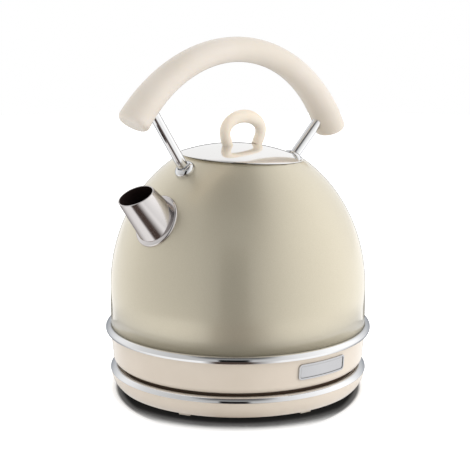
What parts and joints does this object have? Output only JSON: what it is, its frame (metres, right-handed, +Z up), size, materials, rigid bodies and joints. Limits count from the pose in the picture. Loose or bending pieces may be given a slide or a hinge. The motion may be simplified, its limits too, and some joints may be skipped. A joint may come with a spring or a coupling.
{
  "type": "electric kettle",
  "caption": "Cordless dome kettle on a round power base, with a lift-off lid with a loop knob, a short steel spout with a filter, an arched grip on two posts and a rear lever switch.",
  "frame": {"origin": "on the dome's vertical axis, in the plane the feet stand on", "axes": "+Z up; -X the way the spout points, so the handle lies in the XZ plane and the switch and cord bush are at +X; the badge is on the -Y side"},
  "size_m": [0.2296, 0.2084, 0.275],
  "materials": {
    "body_paint": "glossy pearl",
    "bright_chrome": "polished",
    "ivory_plastic": "semi-gloss",
    "grip_plastic": "satin",
    "knob_plastic": "satin",
    "spout_steel": "brushed",
    "inner_steel": "brushed",
    "underside_plastic": "matte",
    "connector_plastic": "matte",
    "contact_brass": "plain",
    "spreader_aluminium": "cast",
    "foot_rubber": "matte",
    "bush_rubber": "matte",
    "seal_silicone": "matte",
    "lens_plastic": "clear tint"
  },
  "bodies": {
    "base": {"base_cover": "ivory_plastic", "base_trim_ring": "bright_chrome", "base_plate": "ivory_plastic", "base_feet": "foot_rubber", "base_screws": "inner_steel", "base_connector": "connector_plastic", "base_contacts": "contact_brass", "cord_bush": "bush_rubber"},
    "turntable": {"turn_ring": "connector_plastic"},
    "kettle": {"body_shell": "body_paint", "dome_trim_ring": "bright_chrome", "lower_skirt": "ivory_plastic", "badge_plate": "bright_chrome", "bottom_cover": "underside_plastic", "cover_screws": "inner_steel", "kettle_connector": "connector_plastic", "kettle_contacts": "contact_brass", "thermostat_control": "connector_plastic", "heat_spreader": "spreader_aluminium", "heating_element": "inner_steel", "heating_plate": "inner_steel", "plate_seal": "seal_silicone", "steam_tube": "inner_steel", "spout_tube": "spout_steel", "spout_flange": "bright_chrome", "front_post": "bright_chrome", "rear_post": "bright_chrome", "front_collar": "bright_chrome", "rear_collar": "bright_chrome", "front_nut": "inner_steel", "rear_nut": "inner_steel", "grip": "grip_plastic", "switch_bracket": "connector_plastic", "switch_pin": "inner_steel"},
    "lid": {"lid_dome": "bright_chrome", "lid_plug": "inner_steel", "lid_seal": "seal_silicone", "knob": "knob_plastic", "knob_screws": "inner_steel"},
    "switch": {"switch_lever": "ivory_plastic", "switch_lens": "lens_plastic"},
    "filter": {"spout_filter": "inner_steel"}
  },
  "joints": [
    {"name": "kettle_swivel", "type": "hinge", "parent": "base", "child": "turntable", "pos_m": [0, 0, 0.0148], "axis": [0, 0, 1], "continuous": true},
    {"name": "kettle_lift", "type": "slide", "parent": "turntable", "child": "kettle", "axis": [0, 0, 1], "range_m": [0, 0.05]},
    {"name": "lid_lift", "type": "slide", "parent": "kettle", "child": "lid", "axis": [0.0785, 0, 0.9969], "range_m": [0, 0.033]},
    {"name": "switch_toggle", "type": "hinge", "parent": "kettle", "child": "switch", "pos_m": [0.088, 0, 0.034], "axis": [0, 1, 0], "range_deg": [0, 14]},
    {"name": "filter_release", "type": "slide", "parent": "kettle", "child": "filter", "axis": [0.8702, 0, -0.4928], "range_m": [0, 0.015]}
  ]
}
